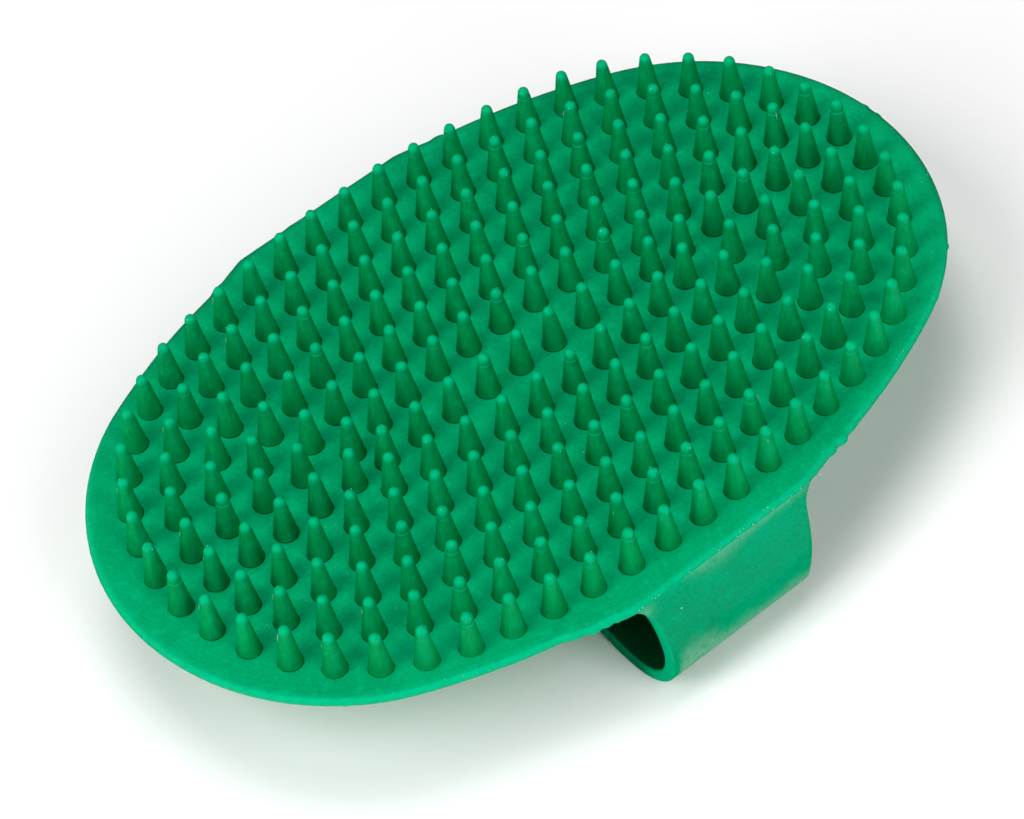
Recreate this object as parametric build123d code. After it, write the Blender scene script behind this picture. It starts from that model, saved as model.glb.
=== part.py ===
from build123d import *
import os
from math import asin, atan2, cos, degrees, hypot, pi, radians, sin

# Oval rubber curry comb, resting teeth up on the two bends of its hand strap.
# +X is the long axis, +Z points the way the teeth point, z = 0 is the surface it rests on.
# All lengths in millimetres, all angles in degrees.

# --- pad -----------------------------------------------------------------
PAD_HALF_LENGTH = 82.5
PAD_HALF_WIDTH = 54.0
PAD_END_RADIUS = 46.0
PAD_THICKNESS = 2.5
PAD_TOP = 25.8              # height of the toothed face above the resting surface
RIM_TOP_ROUND = 0.8
RIM_BOTTOM_ROUND = 0.5

# --- teeth: six oval rings and a row along the middle -----------------------
RING_HALF_LENGTH = 73.9     # outermost ring, through the tooth axes
RING_HALF_WIDTH = 46.75
RING_END_RADIUS = 42.8
RING_STEP = 7.41            # each ring is the last one moved in by this much
RING_COUNT = 6
OUTER_RING_TEETH = 52
FEWER_PER_RING = 6
ROW_TEETH = 9
ROW_PITCH = 7.44
TOOTH_BASE_RADIUS = 2.2
TOOTH_TIP_RADIUS = 1.0
TOOTH_HEIGHT = 9.1

# --- hand strap: one tongue from each long side, bent under and lapped ---------
STRAP_CENTRE_X = -1.8
STRAP_THICKNESS = 2.5
STRAP_HALF_WIDTH = 15.5     # along the back
ROOT_HALF_WIDTH = 16.6      # just under the rim
ROOT_FLARE_RADIUS = 3.6     # hollow corner between the tongue and the rim
ROOT_DROP = 0.6             # the tongue leaves the rim this far below the toothed face
ROOT_ANGLE = 59.0           # slope at which it leaves the rim
WALL_RADIUS = 23.0
WALL_TURN = 42.0
BEND_RADIUS = 10.6
BEND_FLAT = 2.0             # foot of each bend, pressed flat where the comb rests
OUTER_RISE_ANGLE = 12.0     # slope of each tongue beyond its bend
INNER_RISE_ANGLE = 20.0
LEVEL_RADIUS = 20.0         # where a tongue levels out again
LAP_HEIGHT = 2.6            # outer face of the outer tongue above the resting surface
LAP_GAP = 0.1
OUTER_END_Y = 26.0          # free end of the outer tongue
INNER_END_Y = -14.0         # free end of the inner tongue
END_CORNER_RADIUS = 7.0
HINGE_GAP = 1.5             # bare length of the fold line between the bend and the flap

# --- studs on the inner tongue, holes in the outer one -------------------------
BUTTON_SPACING_X = 15.0
BUTTON_PITCH_Y = 12.0
STUD_ROWS = (-0.5, 0.5)                 # rows, counted in pitches from the middle
HOLE_ROWS = (-1.5, -0.5, 0.5, 1.5)
HOLE_RADIUS = 3.4
STUD_NECK_RADIUS = 2.4
STUD_HEAD_RADIUS = 3.0
STUD_NECK_LENGTH = 2.75
STUD_HEAD_LENGTH = 1.7
STUD_HEAD_EDGE = 0.6        # straight side of the head above its dome

os.makedirs("parts", exist_ok=True)


def unit(angle):
    return Vector(cos(radians(angle)), sin(radians(angle)))


def oval_centres(half_length, half_width, end_radius):
    """Centre offset of the end arcs, depth and radius of the side arcs, and where they meet."""
    end_x = half_length - end_radius
    rise = half_width - end_radius
    depth = (end_x ** 2 - rise ** 2) / (2 * rise)
    return end_x, depth, end_radius + hypot(end_x, depth), atan2(depth, end_x)


def oval_face(half_length, half_width, end_radius):
    """Flat oval drawn with four arcs."""
    end_x, _, _, meet = oval_centres(half_length, half_width, end_radius)
    jx = end_x + end_radius * cos(meet)
    jy = end_radius * sin(meet)
    outline = [
        ThreePointArc((jx, -jy), (half_length, 0), (jx, jy)),
        ThreePointArc((jx, jy), (0, half_width), (-jx, jy)),
        ThreePointArc((-jx, jy), (-half_length, 0), (-jx, -jy)),
        ThreePointArc((-jx, -jy), (0, -half_width), (jx, -jy)),
    ]
    return make_face(outline)


def oval_places(half_length, half_width, end_radius, count):
    """Points spaced evenly along such an oval, the first at its +X end."""
    end_x, depth, side_radius, meet = oval_centres(half_length, half_width, end_radius)
    end_run = end_radius * meet
    quarter = end_run + side_radius * (pi / 2 - meet)
    places = []
    for i in range(count):
        run = 4 * quarter * i / count
        fold = run % (2 * quarter)
        along = min(fold, 2 * quarter - fold)
        if along <= end_run:
            x = end_x + end_radius * cos(along / end_radius)
            y = end_radius * sin(along / end_radius)
        else:
            angle = meet + (along - end_run) / side_radius
            x = side_radius * cos(angle)
            y = side_radius * sin(angle) - depth
        side_x = 1 if (run <= quarter or run >= 3 * quarter) else -1
        side_y = 1 if run <= 2 * quarter else -1
        places.append((side_x * x, side_y * y))
    return places


def pad():
    plate = extrude(oval_face(PAD_HALF_LENGTH, PAD_HALF_WIDTH, PAD_END_RADIUS), PAD_THICKNESS)
    plate = Pos(0, 0, PAD_TOP - PAD_THICKNESS) * plate
    plate = fillet(plate.faces().sort_by(Axis.Z)[-1].edges(), RIM_TOP_ROUND)
    return fillet(plate.faces().sort_by(Axis.Z)[0].edges(), RIM_BOTTOM_ROUND)


def tooth():
    """Round cone whose side runs tangent into a domed tip, standing on z = 0."""
    dome_z = TOOTH_HEIGHT - TOOTH_TIP_RADIUS
    lean = atan2(TOOTH_BASE_RADIUS, dome_z)
    rise = asin(TOOTH_TIP_RADIUS / hypot(TOOTH_BASE_RADIUS, dome_z))
    tilt = degrees(lean - rise)
    dome = Vector(0, dome_z)
    profile = [
        Line((0, 0), (TOOTH_BASE_RADIUS, 0)),
        Line((TOOTH_BASE_RADIUS, 0), dome + unit(tilt) * TOOTH_TIP_RADIUS),
        ThreePointArc(
            dome + unit(tilt) * TOOTH_TIP_RADIUS,
            dome + unit(45 + tilt / 2) * TOOTH_TIP_RADIUS,
            (0, TOOTH_HEIGHT),
        ),
        Line((0, TOOTH_HEIGHT), (0, 0)),
    ]
    return revolve(Plane.XZ * make_face(profile), Axis.Z)


def teeth_at(places):
    one = tooth()
    return Compound(children=[Pos(x, y, PAD_TOP) * one for x, y in places])


def ring_places(ring):
    inward = RING_STEP * ring
    return oval_places(
        RING_HALF_LENGTH - inward,
        RING_HALF_WIDTH - inward,
        RING_END_RADIUS - inward,
        OUTER_RING_TEETH - FEWER_PER_RING * ring,
    )


def row_places():
    first = -ROW_PITCH * (ROW_TEETH - 1) / 2
    return [(first + ROW_PITCH * i, 0) for i in range(ROW_TEETH)]


def route(start, heading, moves, shift=0.0):
    """Edges of a path of (length, 0) straights and (radius, turn) arcs, and where it ends.

    shift moves every edge that far to the left of the direction of travel.
    """
    point, angle, edges = Vector(*start), heading, []
    for size, turn in moves:
        left = unit(angle + 90)
        begin = point + left * shift
        if turn == 0:
            point = point + unit(angle) * size
            edges.append(Line(begin, point + left * shift))
            continue
        side = 1 if turn > 0 else -1
        centre = point + left * size * side
        reach = side * size - shift
        middle = centre - unit(angle + 90 + turn / 2) * reach
        angle += turn
        point = centre - unit(angle + 90) * size * side
        edges.append(ThreePointArc(begin, middle, point + unit(angle + 90) * shift))
    return edges, point, angle


def strip(start, heading, moves, round_start=False):
    """Side view of a strap of even thickness that follows a route with its outer face."""
    outer, end, end_angle = route(start, heading, moves)
    inner, _, _ = route(start, heading, moves, STRAP_THICKNESS)
    near = Vector(*start) + unit(heading + 90) * STRAP_THICKNESS
    far = end + unit(end_angle + 90) * STRAP_THICKNESS
    if round_start:
        nose = Vector(*start) + (unit(heading + 90) - unit(heading)) * (STRAP_THICKNESS / 2)
        cap = ThreePointArc(near, nose, Vector(*start))
    else:
        cap = Line(near, Vector(*start))
    return make_face(outer + [Line(end, far)] + inner + [cap])


def root_moves():
    """From the rim down the wall, round the bend and over its flat foot."""
    return [
        (WALL_RADIUS, WALL_TURN),
        (BEND_RADIUS, 180 - ROOT_ANGLE - WALL_TURN),
        (BEND_FLAT, 0),
    ]


def rise_length(rise_angle, height):
    """Straight run that lifts a tongue from its foot to a given height, arcs included."""
    in_arcs = (BEND_RADIUS + LEVEL_RADIUS) * (1 - cos(radians(rise_angle)))
    return (height - in_arcs) / sin(radians(rise_angle))


def rim_start():
    """Where the near tongue leaves the rim, as y and z: chosen so the foot is at z = 0."""
    return -PAD_HALF_WIDTH, PAD_TOP - ROOT_DROP


def foot_error():
    """Height of the foot if nothing corrected it."""
    _, end, _ = route(rim_start(), 180 + ROOT_ANGLE, root_moves())
    return end.Y


def wall_start():
    """The rim start, and a short straight that brings the foot down to z = 0."""
    return [(foot_error() / sin(radians(ROOT_ANGLE + WALL_TURN)), 0)]


def tongue_moves():
    moves = root_moves()
    return moves[:1] + wall_start() + moves[1:]


def strap_width_window():
    """Front view of a tongue: its sides, tapering down from the hollow corners at the rim."""
    top = PAD_TOP - ROOT_DROP + 0.6
    flare_z = top - ROOT_FLARE_RADIUS
    taper_z = BEND_RADIUS
    wide = ROOT_HALF_WIDTH + ROOT_FLARE_RADIUS
    arc_mid = ROOT_FLARE_RADIUS * (1 - cos(radians(45)))
    right = [
        Line((STRAP_HALF_WIDTH, 0), (STRAP_HALF_WIDTH, taper_z)),
        Line((STRAP_HALF_WIDTH, taper_z), (ROOT_HALF_WIDTH, flare_z)),
        ThreePointArc(
            (ROOT_HALF_WIDTH, flare_z),
            (ROOT_HALF_WIDTH + arc_mid, top - arc_mid),
            (wide, top),
        ),
    ]
    left = [edge.mirror(Plane.YZ) for edge in right]
    outline = right + [Line((wide, top), (-wide, top))] + left
    outline.append(Line((-STRAP_HALF_WIDTH, 0), (STRAP_HALF_WIDTH, 0)))
    face = Pos(STRAP_CENTRE_X, 0, 0) * (Plane.XZ * make_face(outline))
    return extrude(face, PAD_HALF_WIDTH * 2, both=True)


def solid_strip(side_view):
    """A side view given width, with the tongue's tapering sides."""
    half = ROOT_HALF_WIDTH + ROOT_FLARE_RADIUS + 1
    block = extrude(Plane.YZ * side_view, half, both=True)
    return (Pos(STRAP_CENTRE_X, 0, 0) * block) & strap_width_window()


def round_end(tongue, toward):
    """Round the two corners of a tongue's free end, the one furthest towards +Y or -Y."""
    corners = tongue.edges().filter_by(Axis.Z).group_by(Axis.Y)[-1 if toward > 0 else 0]
    return fillet(corners, END_CORNER_RADIUS)


def button_places(rows):
    return [
        (STRAP_CENTRE_X + side * BUTTON_SPACING_X / 2, row * BUTTON_PITCH_Y)
        for row in rows
        for side in (-1, 1)
    ]


def near_wall(plate):
    """Fixed half of the near tongue: rim, wall, bend and foot."""
    moves = tongue_moves() + [(BEND_RADIUS, OUTER_RISE_ANGLE)]
    return solid_strip(strip(rim_start(), 180 + ROOT_ANGLE, moves)) - plate


def fold_line():
    """Centre of the near tongue's fold, as y and z, and the start of the flap's outer face."""
    moves = tongue_moves() + [(BEND_RADIUS, OUTER_RISE_ANGLE), (HINGE_GAP, 0)]
    _, point, angle = route(rim_start(), 180 + ROOT_ANGLE, moves)
    centre = point + unit(angle + 90) * (STRAP_THICKNESS / 2)
    return (point.X, point.Y), (centre.X, centre.Y)


def near_flap():
    """Moving half of the near tongue: the outer layer of the lap, with the button holes."""
    start, _ = fold_line()
    rise = rise_length(OUTER_RISE_ANGLE, LAP_HEIGHT) - HINGE_GAP
    moves = [(rise, 0), (LEVEL_RADIUS, -OUTER_RISE_ANGLE)]
    _, level, _ = route(start, OUTER_RISE_ANGLE, moves)
    moves.append((OUTER_END_Y - level.X, 0))
    flap = solid_strip(strip(start, OUTER_RISE_ANGLE, moves, round_start=True))
    flap = round_end(flap, 1)
    for x, y in button_places(HOLE_ROWS):
        flap -= Pos(x, y, LAP_HEIGHT) * Cylinder(HOLE_RADIUS, 3 * STRAP_THICKNESS)
    return flap


def far_tongue(plate):
    """The far tongue: wall, bend, foot and the inner layer of the lap."""
    height = LAP_HEIGHT + STRAP_THICKNESS + LAP_GAP
    moves = tongue_moves() + [
        (BEND_RADIUS, INNER_RISE_ANGLE),
        (rise_length(INNER_RISE_ANGLE, height), 0),
        (LEVEL_RADIUS, -INNER_RISE_ANGLE),
    ]
    _, level, _ = route(rim_start(), 180 + ROOT_ANGLE, moves)
    moves.append((-INNER_END_Y - level.X, 0))
    tongue = solid_strip(strip(rim_start(), 180 + ROOT_ANGLE, moves))
    return round_end(mirror(tongue, Plane.XZ), -1) - plate


def stud():
    """Round neck and domed head, hanging down from z = 0."""
    head_top = -STUD_NECK_LENGTH
    edge = head_top - STUD_HEAD_EDGE
    dome = STUD_HEAD_LENGTH - STUD_HEAD_EDGE
    ball = (STUD_HEAD_RADIUS ** 2 + dome ** 2) / (2 * dome)
    bottom = edge - dome
    half_way = asin(STUD_HEAD_RADIUS / ball) / 2
    profile = [
        Line((0, 0), (STUD_NECK_RADIUS, 0)),
        Line((STUD_NECK_RADIUS, 0), (STUD_NECK_RADIUS, head_top)),
        Line((STUD_NECK_RADIUS, head_top), (STUD_HEAD_RADIUS, head_top)),
        Line((STUD_HEAD_RADIUS, head_top), (STUD_HEAD_RADIUS, edge)),
        ThreePointArc(
            (STUD_HEAD_RADIUS, edge),
            (ball * sin(half_way), bottom + ball * (1 - cos(half_way))),
            (0, bottom),
        ),
        Line((0, bottom), (0, 0)),
    ]
    return revolve(Plane.XZ * make_face(profile), Axis.Z)


def studs():
    one = stud()
    top = LAP_HEIGHT + STRAP_THICKNESS + LAP_GAP
    return Compound(children=[Pos(x, y, top) * one for x, y in button_places(STUD_ROWS)])


def main():
    plate = pad()
    nodes = {
        "pad": plate,
        "strap_wall_near": near_wall(plate),
        "strap_flap_near": near_flap(),
        "strap_tongue_far": far_tongue(plate),
        "strap_studs": studs(),
        "teeth_centre_row": teeth_at(row_places()),
    }
    for ring in range(RING_COUNT):
        nodes[f"teeth_ring_{ring + 1}"] = teeth_at(ring_places(ring))
    for name, shape in nodes.items():
        export_step(shape, f"parts/{name}.step")
    print("fold line centre (y, z):", fold_line()[1])
    print("straight in the wall:", wall_start()[0][0])


main()
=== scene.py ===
import bpy
import random
from math import asin, atan2, cos, exp, hypot, pi, radians, sin, sqrt
from mathutils import Vector, Matrix, noise
from mathutils.geometry import delaunay_2d_cdt


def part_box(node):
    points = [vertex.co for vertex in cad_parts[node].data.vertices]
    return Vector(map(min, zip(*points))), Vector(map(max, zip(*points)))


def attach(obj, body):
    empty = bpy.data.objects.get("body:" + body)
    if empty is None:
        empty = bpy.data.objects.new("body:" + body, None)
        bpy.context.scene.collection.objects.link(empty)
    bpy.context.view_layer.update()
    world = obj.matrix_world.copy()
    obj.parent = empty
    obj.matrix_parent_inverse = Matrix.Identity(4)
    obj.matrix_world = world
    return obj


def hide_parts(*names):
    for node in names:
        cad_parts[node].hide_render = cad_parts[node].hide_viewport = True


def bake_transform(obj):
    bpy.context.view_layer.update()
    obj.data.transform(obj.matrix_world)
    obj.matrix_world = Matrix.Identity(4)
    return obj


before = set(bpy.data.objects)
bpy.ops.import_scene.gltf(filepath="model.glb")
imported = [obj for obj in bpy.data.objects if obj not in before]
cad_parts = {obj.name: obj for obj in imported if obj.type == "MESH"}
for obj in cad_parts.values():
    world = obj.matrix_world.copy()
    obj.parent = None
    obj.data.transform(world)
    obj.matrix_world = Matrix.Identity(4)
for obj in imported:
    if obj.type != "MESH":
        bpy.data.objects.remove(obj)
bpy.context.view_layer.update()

MM = 0.001

# --- sizes in millimetres and angles in degrees; the pad's overall ones come from the frame ---
PAD_LOW, PAD_HIGH = (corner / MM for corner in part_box("pad"))
PAD_TOP = PAD_HIGH.z
PAD_BOTTOM = PAD_LOW.z
PAD_HALF_LENGTH = PAD_HIGH.x
PAD_HALF_WIDTH = PAD_HIGH.y
PAD_END_RADIUS = 46.0
RIM_THICKNESS = 1.5
RIM_TOP_ROUND = 0.8
RIM_BOTTOM_ROUND = 0.4
RIM_LIFT = 0.38             # how far the soft rim curls up,
RIM_LIFT_WIDTH = 7.0        # over this width
DISH_ALONG = 0.55           # rise of the pad's ends above its middle
DISH_ACROSS = 0.31          # rise of its sides
TWIST = -0.5

RING_HALF_LENGTH = 73.9
RING_HALF_WIDTH = 46.75
RING_END_RADIUS = 42.8
RING_STEP = 7.41
RING_COUNT = 6
OUTER_RING_TEETH = 52
FEWER_PER_RING = 6
ROW_TEETH = 9
ROW_PITCH = 7.44
TOOTH_BASE_RADIUS = 2.2
TOOTH_TIP_RADIUS = 1.0
TOOTH_HEIGHT = 9.1

STRAP_X = -1.8
STRAP_THICKNESS = 2.5
STRAP_HALF_WIDTH = 15.5
ROOT_HALF_WIDTH = 16.6
ROOT_DROP = 0.6             # from the pad's face to the start of a tongue's outer face
ROOT_ANGLE = 59.0           # how steeply a tongue leaves the rim
ROOT_REACH = 17.3           # half the width over which the rim runs straight along a root
ROOT_BLEND = 10.5           # and the width in which it comes back to the oval
ROOT_ZONE = 30.0            # this near the strap, the rim is pushed out along y only
WALL_RADIUS = 23.0
WALL_TURN = 42.0
WALL_STRAIGHT = 0.395
BEND_RADIUS = 10.6
BEND_FLAT = 2.0             # the strip that the comb stands on
OUTER_RISE = 12.0           # slope of the near (outer) tongue as it leaves its bend
INNER_RISE = 20.0
LEVEL_RADIUS = 20.0
LAP_HEIGHT = 2.6            # height of the outer tongue's flat run
LAP_GAP = 0.1
INNER_HEIGHT = LAP_HEIGHT + STRAP_THICKNESS + LAP_GAP
OUTER_END_Y = 26.0
INNER_END_Y = -14.0
END_CORNER = 7.0
BUTTON_SPACING = 15.0
BUTTON_PITCH = 12.0
STUD_ROWS = (-0.5, 0.5)
HOLE_ROWS = (-1.5, -0.5, 0.5, 1.5)
HOLE_RADIUS = 3.4
STUD_NECK_RADIUS = 2.4
STUD_HEAD_RADIUS = 3.0
STUD_NECK_LENGTH = 2.75


# --- small helpers ------------------------------------------------------------
def smooth(low, high, value):
    """0 below low, 1 above high, and an even curve between."""
    t = min(1.0, max(0.0, (value - low) / (high - low)))
    return t * t * (3 - 2 * t)


def wobble(x, y, z, size, seed=0.0):
    """Smooth noise from -1 to 1, with features about size millimetres across."""
    return noise.noise(Vector((x / size + seed, y / size - seed, z / size + 2 * seed)))


def unit(angle):
    return Vector((cos(radians(angle)), sin(radians(angle))))


def make_piece(name, points, faces, material, body, replaces=(), marks=None):
    """A smooth-shaded mesh, its points in millimetres, with marks for its material to read.

    It rides on a body if one is named, and on none if not.
    """
    mesh = bpy.data.meshes.new(name)
    mesh.from_pydata([tuple(c * MM for c in p) for p in points], [], faces)
    for key, values in (marks or {}).items():
        layer = mesh.attributes.new(key, "FLOAT", "POINT")
        layer.data.foreach_set("value", values)
    mesh.shade_smooth()
    mesh.materials.append(material)
    piece = bpy.data.objects.new(name, mesh)
    bpy.context.scene.collection.objects.link(piece)
    if body:
        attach(piece, body)
    if replaces:
        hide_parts(*replaces)
    return piece


def loft(rows, count, start=0):
    """Quads between successive closed rows of count points, the first of them at start."""
    faces = []
    for row in range(rows - 1):
        a = start + row * count
        b = a + count
        for i in range(count):
            j = (i + 1) % count
            faces.append((a + i, a + j, b + j, b + i))
    return faces


def turned_over(faces):
    return [tuple(reversed(face)) for face in faces]


# --- materials -----------------------------------------------------------------
class Nodes:
    """Short-hand for building a node tree."""

    def __init__(self, name):
        self.material = bpy.data.materials.new(name)
        self.material.use_nodes = True
        self.tree = self.material.node_tree
        self.shader = self.tree.nodes["Principled BSDF"]
        self.place = self.tree.nodes.new("ShaderNodeTexCoord").outputs["Object"]

    def add(self, kind, **settings):
        node = self.tree.nodes.new(kind)
        for key, value in settings.items():
            setattr(node, key, value)
        return node

    def link(self, output, socket):
        self.tree.links.new(output, socket)

    def noise(self, scale, detail=3.0, rough=0.5, stretch=None):
        """Noise with scale features per metre."""
        node = self.add("ShaderNodeTexNoise")
        node.inputs["Scale"].default_value = scale
        node.inputs["Detail"].default_value = detail
        node.inputs["Roughness"].default_value = rough
        where = self.place
        if stretch:
            mapping = self.add("ShaderNodeMapping")
            mapping.inputs["Scale"].default_value = stretch
            self.link(self.place, mapping.inputs["Vector"])
            where = mapping.outputs["Vector"]
        self.link(where, node.inputs["Vector"])
        return node.outputs["Fac"]

    def mark(self, name):
        node = self.add("ShaderNodeAttribute", attribute_name=name)
        return node.outputs["Fac"]

    def span(self, value, from_low, from_high, to_low, to_high, kind="LINEAR"):
        node = self.add("ShaderNodeMapRange", interpolation_type=kind)
        self.link(value, node.inputs["Value"])
        for key, number in zip(
            ("From Min", "From Max", "To Min", "To Max"),
            (from_low, from_high, to_low, to_high),
        ):
            node.inputs[key].default_value = number
        return node.outputs["Result"]

    def maths(self, operation, a, b):
        node = self.add("ShaderNodeMath", operation=operation)
        for socket, value in zip(node.inputs, (a, b)):
            if isinstance(value, (int, float)):
                socket.default_value = value
            else:
                self.link(value, socket)
        return node.outputs["Value"]

    def mix(self, factor, a, b):
        node = self.add("ShaderNodeMix", data_type="RGBA")
        self.link(factor, node.inputs["Factor"])
        for key, value in (("A", a), ("B", b)):
            socket = [s for s in node.inputs if s.name == key and s.type == "RGBA"][0]
            if isinstance(value, tuple):
                socket.default_value = (*value, 1.0)
            else:
                self.link(value, socket)
        return [s for s in node.outputs if s.type == "RGBA"][0]

    def bump(self, height, strength, distance, under=None):
        node = self.add("ShaderNodeBump")
        node.inputs["Strength"].default_value = strength
        node.inputs["Distance"].default_value = distance
        self.link(height, node.inputs["Height"])
        if under is not None:
            self.link(under, node.inputs["Normal"])
        return node.outputs["Normal"]


# noise features per metre
CLOUD_SCALE = 60.0
WAVE_SCALE = 240.0
MOTTLE_SCALE = 420.0
GRAIN_SCALE = 1700.0
FLECK_SCALE = 3400.0
DRAWN_STRETCH = (1.0, 1.0, 0.22)
SPECULAR_TINT = (0.0, 1.0, 0.95, 1.0)


def rubber(name, colours, tints=(), flow=False, drawn=False, grit=1.0, gloss=0.33):
    """Moulded rubber: mottled colour, uneven satin sheen, fine grain and soft waves.

    Each of tints is (mark, colour, amount, raggedness): where the mark is 1 the colour shows by
    that amount, broken up by noise where raggedness is above 0. Drawn rubber has its grain
    stretched upright, as teeth have from being pulled out of their mould.
    """
    n = Nodes(name)
    mottle = n.noise(MOTTLE_SCALE, 4.0, 0.65)
    grain = n.noise(GRAIN_SCALE, 4.0, 0.7, DRAWN_STRETCH if drawn else None)
    fleck = n.noise(FLECK_SCALE, 3.0, 0.6)
    colour = mottled_colour(n, colours, mottle, grain, fleck, grit)
    for mark, tint, amount, ragged in tints:
        patch = n.mark(mark)
        if ragged:
            torn = n.span(n.noise(ragged, 5.0, 0.75), 0.38, 0.56, 0.4, 1.0)
            patch = n.maths("MULTIPLY", patch, torn)
        colour = n.mix(n.span(patch, 0.0, 1.0, 0.0, amount), colour, tint)
    relief = n.bump(n.noise(WAVE_SCALE, 4.0, 0.55), 0.45, 0.3 * MM)
    if flow:
        lines = flow_lines(n)
        relief = n.bump(lines, 0.45, 0.12 * MM, relief)
        colour = n.mix(n.span(lines, 0.35, 0.65, 0.0, 0.25), colour, colours[-1])
    relief = n.bump(grain, 0.6 * grit, 0.11 * MM, relief)
    relief = n.bump(fleck, 0.5 * grit, 0.04 * MM, relief)
    n.link(relief, n.shader.inputs["Normal"])
    n.link(colour, n.shader.inputs["Base Color"])
    n.link(n.span(mottle, 0.3, 0.7, 0.50, 0.70), n.shader.inputs["Roughness"])
    set_gloss(n, gloss)
    return n.material


def mottled_colour(n, colours, mottle, grain, fleck, grit):
    """The rubber's own colour: clouds and mottling from deep to bright, with dark and pale grit."""
    deep, plain, bright = colours
    darker = tuple(0.62 * c for c in deep)
    paler = tuple(1.12 * c for c in bright)
    cloud = n.noise(CLOUD_SCALE, 4.0, 0.55)
    colour = n.mix(n.span(cloud, 0.35, 0.68, 0.0, 1.0, "SMOOTHSTEP"), deep, plain)
    colour = n.mix(n.span(mottle, 0.46, 0.74, 0.0, 0.8, "SMOOTHSTEP"), colour, bright)
    colour = n.mix(n.span(grain, 0.28, 0.56, 0.5 * grit, 0.0), colour, darker)
    return n.mix(n.span(fleck, 0.52, 0.72, 0.0, 0.4 * grit), colour, paler)


def set_gloss(n, gloss):
    """A soft green shine that fades where the surface is seen edge on."""
    facing = n.add("ShaderNodeLayerWeight").outputs["Facing"]
    level = n.shader.inputs["Specular IOR Level"]
    level.default_value = 0.5 * gloss     # the socket's own value, under the link; what the exported model gets
    n.link(n.span(facing, 0.15, 0.5, gloss, 0.0), level)
    n.shader.inputs["Specular Tint"].default_value = SPECULAR_TINT


def flow_lines(n):
    """Faint lines that run along the rim, where the rubber flowed in the mould."""
    place = n.add("ShaderNodeCombineXYZ")
    n.link(n.maths("MULTIPLY", n.mark("inset"), 1.5), place.inputs["X"])
    n.link(n.maths("MULTIPLY", n.mark("along"), 0.07), place.inputs["Y"])
    node = n.add("ShaderNodeTexNoise")
    node.inputs["Scale"].default_value = 1.0
    node.inputs["Detail"].default_value = 3.0
    n.link(place.outputs["Vector"], node.inputs["Vector"])
    fade = n.span(n.mark("inset"), 1.0, 11.0, 1.0, 0.0)
    centred = n.maths("SUBTRACT", node.outputs["Fac"], 0.5)
    return n.maths("ADD", n.maths("MULTIPLY", centred, fade), 0.5)


# colours are linear, from deep to bright
PAD_RUBBER = rubber(
    "pad_rubber", [(0.0, 0.277, 0.094), (0.0, 0.334, 0.120), (0.0, 0.392, 0.160)], flow=True,
    tints=[
        # painted highlight along the near side of the rim
        ("rim", (0.0, 0.46, 0.22), 0.65, 900.0),
        # painted shade along the far side of the rim
        ("far", (0.0, 0.13, 0.05), 0.7, 0.0),
        ("under", (0.0, 0.30, 0.12), 0.3, 0.0),
    ],
)
TOOTH_RUBBER = rubber(
    "tooth_rubber", [(0.0, 0.260, 0.068), (0.0, 0.316, 0.087), (0.0, 0.374, 0.128)],
    drawn=True, grit=1.1,
    tints=[
        # painted shade, darker towards each tooth's base
        ("foot", (0.0, 0.15, 0.03), 0.40, 0.0),
        # painted shade in the crease where each tooth meets the pad
        ("crease_shade", (0.0, 0.06, 0.012), 0.85, 0.0),
        ("streak", (0.0, 0.205, 0.046), 0.55, 0.0),
        # painted highlight on the domed tips
        ("tip", (0.0, 0.44, 0.21), 0.55, 1500.0),
        ("step", (0.0, 0.46, 0.24), 0.45, 1500.0),
    ],
)
STRAP_RUBBER = rubber(
    "strap_rubber", [(0.0, 0.292, 0.124), (0.0, 0.326, 0.144), (0.0, 0.365, 0.170)], gloss=0.14,
    tints=[
        # painted highlight on the rounded edges and the button heads
        ("edge", (0.0, 0.42, 0.20), 0.4, 0.0),
        # grey reflection painted low on the outer face, in the crease under the rim and at one root
        ("painted_reflection", (0.135, 0.385, 0.240), 1.0, 620.0),
        ("inside", (0.0, 0.030, 0.008), 0.92, 0.0),
        ("mark", (0.0, 0.20, 0.09), 0.6, 900.0),
    ],
)


def plain_grit(name, colour, roughness):
    """Speckled pale material for flash and dust."""
    n = Nodes(name)
    speck = n.noise(3000.0, 2.0, 0.6)
    dull = tuple(c * 0.75 for c in colour)
    n.link(n.mix(n.span(speck, 0.35, 0.65, 0.0, 1.0), dull, colour), n.shader.inputs["Base Color"])
    n.link(n.span(speck, 0.3, 0.7, roughness - 0.1, roughness + 0.1), n.shader.inputs["Roughness"])
    n.link(n.bump(speck, 0.5, 0.03 * MM), n.shader.inputs["Normal"])
    n.shader.inputs["Specular IOR Level"].default_value = 0.3
    return n.material


DUST = plain_grit("dust_grit", (0.55, 0.72, 0.60), 0.8)
FLASH = plain_grit("flash_film", (0.22, 0.52, 0.36), 0.6)


# --- oval shapes ---------------------------------------------------------------------
def oval_arcs(half_length, half_width, end_radius):
    """Of an oval of four arcs: the end arcs' centre x, how far past the middle the side arcs'
    centres lie, the side arcs' radius, and the angle at which the two kinds meet."""
    end_x = half_length - end_radius
    rise = half_width - end_radius
    depth = (end_x ** 2 - rise ** 2) / (2 * rise)
    return end_x, depth, end_radius + hypot(end_x, depth), atan2(depth, end_x)


def oval_samples(half_length, half_width, end_radius, count):
    """Evenly spaced (arc centre, outward direction, radius) around an oval of four arcs."""
    end_x, depth, side_radius, meet = oval_arcs(half_length, half_width, end_radius)
    end_run = end_radius * meet
    quarter = end_run + side_radius * (pi / 2 - meet)
    samples = []
    for i in range(count):
        run = 4 * quarter * i / count
        fold = run % (2 * quarter)
        along = min(fold, 2 * quarter - fold)
        side_x = 1 if (run <= quarter or run >= 3 * quarter) else -1
        side_y = 1 if run <= 2 * quarter else -1
        if along <= end_run:
            angle, radius, centre = along / end_radius, end_radius, Vector((end_x, 0.0))
        else:
            angle = meet + (along - end_run) / side_radius
            radius, centre = side_radius, Vector((0.0, -depth))
        flip = Vector((side_x, side_y))
        samples.append((centre * flip, Vector((cos(angle), sin(angle))) * flip, radius))
    return samples


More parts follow.
